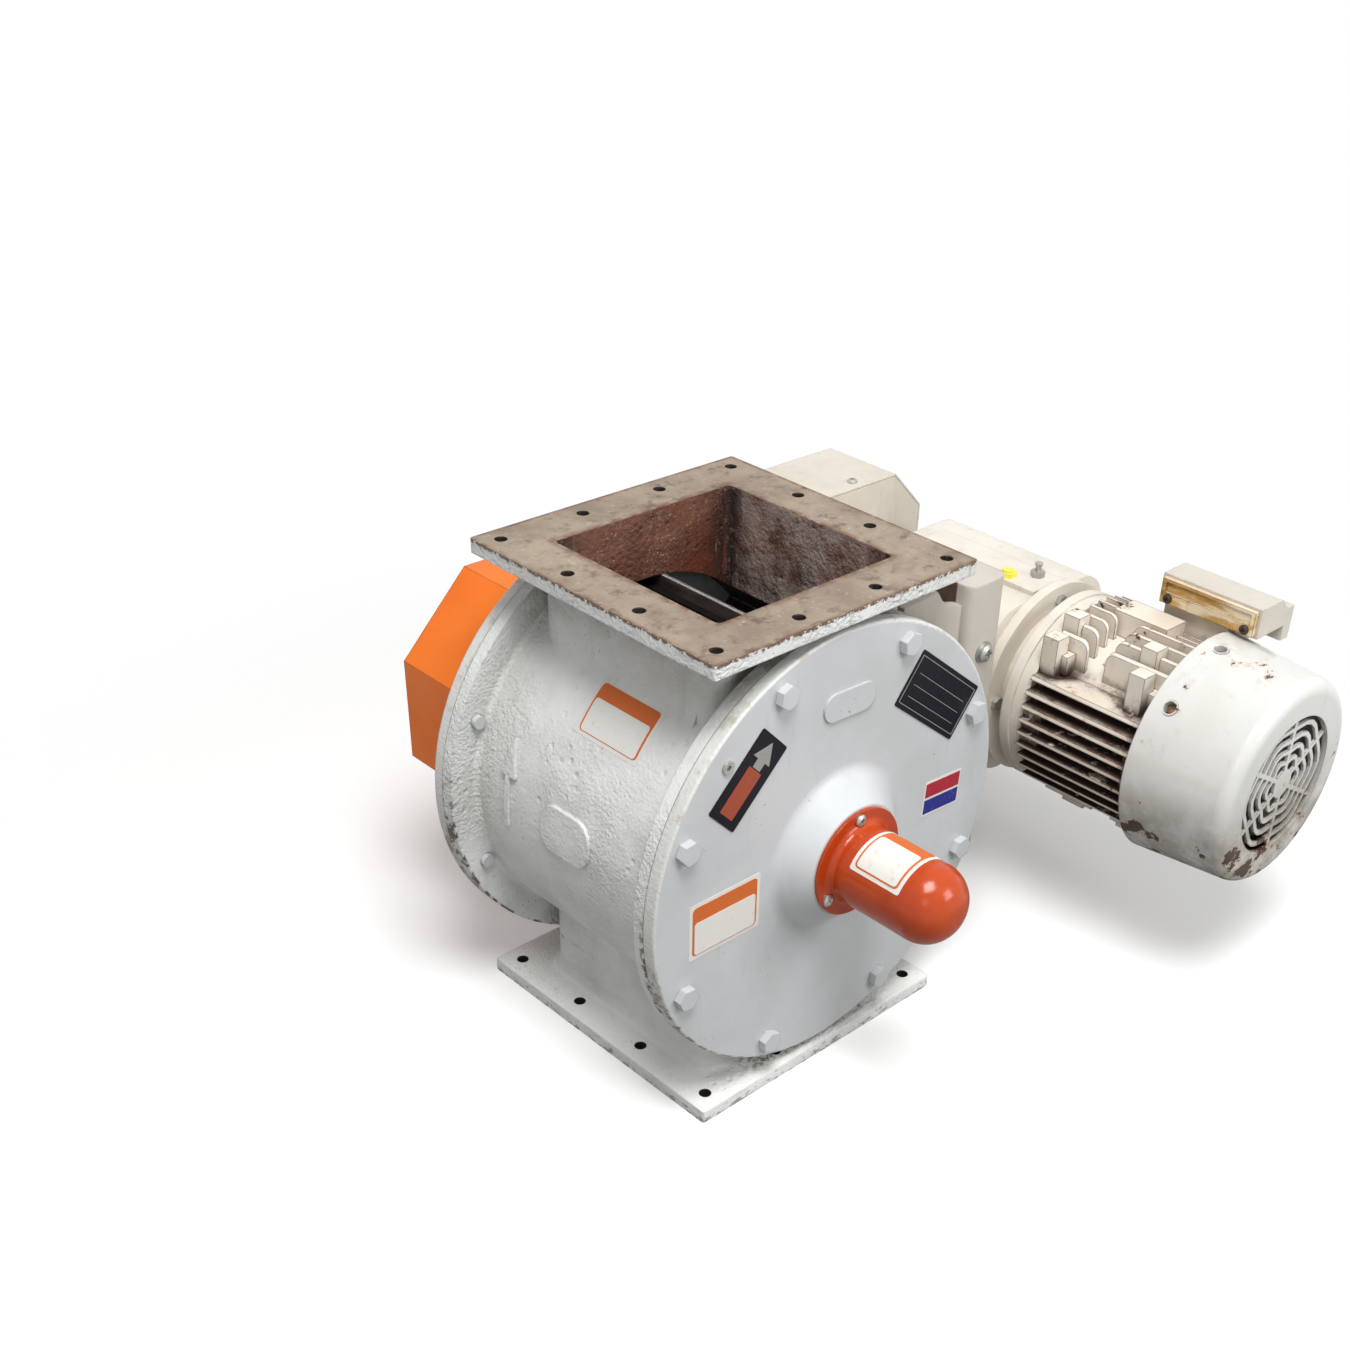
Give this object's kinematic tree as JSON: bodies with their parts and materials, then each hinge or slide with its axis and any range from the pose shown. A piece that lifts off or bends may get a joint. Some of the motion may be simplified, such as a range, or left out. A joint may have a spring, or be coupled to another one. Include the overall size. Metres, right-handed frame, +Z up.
{
  "type": "rotary airlock valve",
  "caption": "Rotary airlock valve with square flanged throats, a vaned rotor, round end covers, a guarded chain drive and a side-mounted gearmotor.",
  "frame": {"origin": "centre of the outlet flange's bottom face", "axes": "+Z up through the inlet, Y along the rotor axis with the chain drive towards +Y and the shaft cap towards -Y, +X towards the gearmotor"},
  "size_m": [0.724, 0.647, 0.4572],
  "materials": {
    "valve_paint": "semi-gloss light grey paint over a sand-cast surface",
    "guard_orange": "satin orange sheet-metal paint",
    "cap_orange": "glossy dark orange paint",
    "motor_paint": "worn cream-white paint with chips",
    "zinc_steel": "zinc plated",
    "machined_steel": "machined",
    "dark_steel": "dark, oiled",
    "seal_rubber": "matt",
    "fan_plastic": "matt",
    "yellow_plastic": "glossy",
    "plate_black": "black anodised, blank"
  },
  "bodies": {
    "valve_body": {"housing": "valve_paint", "front_cover": "valve_paint", "drive_cover": "valve_paint", "front_cover_bolts": "valve_paint", "drive_cover_bolts": "valve_paint", "cover_jack_screws": "zinc_steel", "front_bearing": "machined_steel", "drive_bearing": "machined_steel", "front_seal": "seal_rubber", "drive_seal": "seal_rubber", "bearing_clips": "machined_steel", "shaft_cap": "cap_orange", "shaft_cap_screws": "zinc_steel", "roller_chain": "dark_steel", "guard_back_plate": "motor_paint", "guard_cover_valve": "guard_orange", "guard_cover_motor": "motor_paint", "guard_standoffs": "zinc_steel", "guard_screws": "zinc_steel", "motor_bracket": "motor_paint", "bracket_screws": "zinc_steel", "gearbox_case": "motor_paint", "gearbox_foot_bolts": "zinc_steel", "gearbox_end_cover": "motor_paint", "end_cover_bolts": "zinc_steel", "output_seal": "seal_rubber", "output_bearing": "machined_steel", "vent_plug": "zinc_steel", "oil_plug": "yellow_plastic", "stator_frame": "motor_paint", "drive_end_shield": "motor_paint", "fan_end_shield": "motor_paint", "shield_bolts": "zinc_steel", "motor_bearings": "machined_steel", "fan_cowl": "motor_paint", "cowl_screws": "zinc_steel", "terminal_box": "motor_paint", "terminal_lid": "motor_paint", "terminal_screws": "zinc_steel", "conduit_plug": "dark_steel", "name_plate": "plate_black", "rotation_plate": "plate_black"},
    "rotor": {"rotor_shaft": "machined_steel", "rotor_hub": "dark_steel", "rotor_vanes": "dark_steel", "rotor_tips": "machined_steel", "tip_bolts": "zinc_steel", "front_bearing_inner": "machined_steel", "drive_bearing_inner": "machined_steel", "driven_sprocket": "dark_steel", "driven_key": "machined_steel", "driven_set_screws": "dark_steel"},
    "gearbox_output": {"output_shaft": "machined_steel", "drive_sprocket": "dark_steel", "drive_key": "machined_steel", "drive_set_screws": "dark_steel"},
    "motor_rotor": {"motor_shaft": "machined_steel", "cooling_fan": "fan_plastic"}
  },
  "joints": [
    {"name": "rotor_spin", "type": "hinge", "parent": "valve_body", "child": "rotor", "pos_m": [0, 0, 0.2286], "axis": [0, 1, 0], "continuous": true, "deforming": ["roller_chain"]},
    {"name": "output_spin", "type": "hinge", "parent": "valve_body", "child": "gearbox_output", "pos_m": [0.4015, 0, 0.2286], "axis": [0, 1, 0], "continuous": true, "deforming": ["roller_chain"]},
    {"name": "motor_spin", "type": "hinge", "parent": "valve_body", "child": "motor_rotor", "pos_m": [0.4015, 0, 0.2286], "axis": [0, 1, 0], "continuous": true}
  ],
  "couplings": [
    {"joint": "output_spin", "follows": "rotor_spin", "ratio": 2.3077},
    {"joint": "motor_spin", "follows": "rotor_spin", "ratio": 46.154}
  ]
}
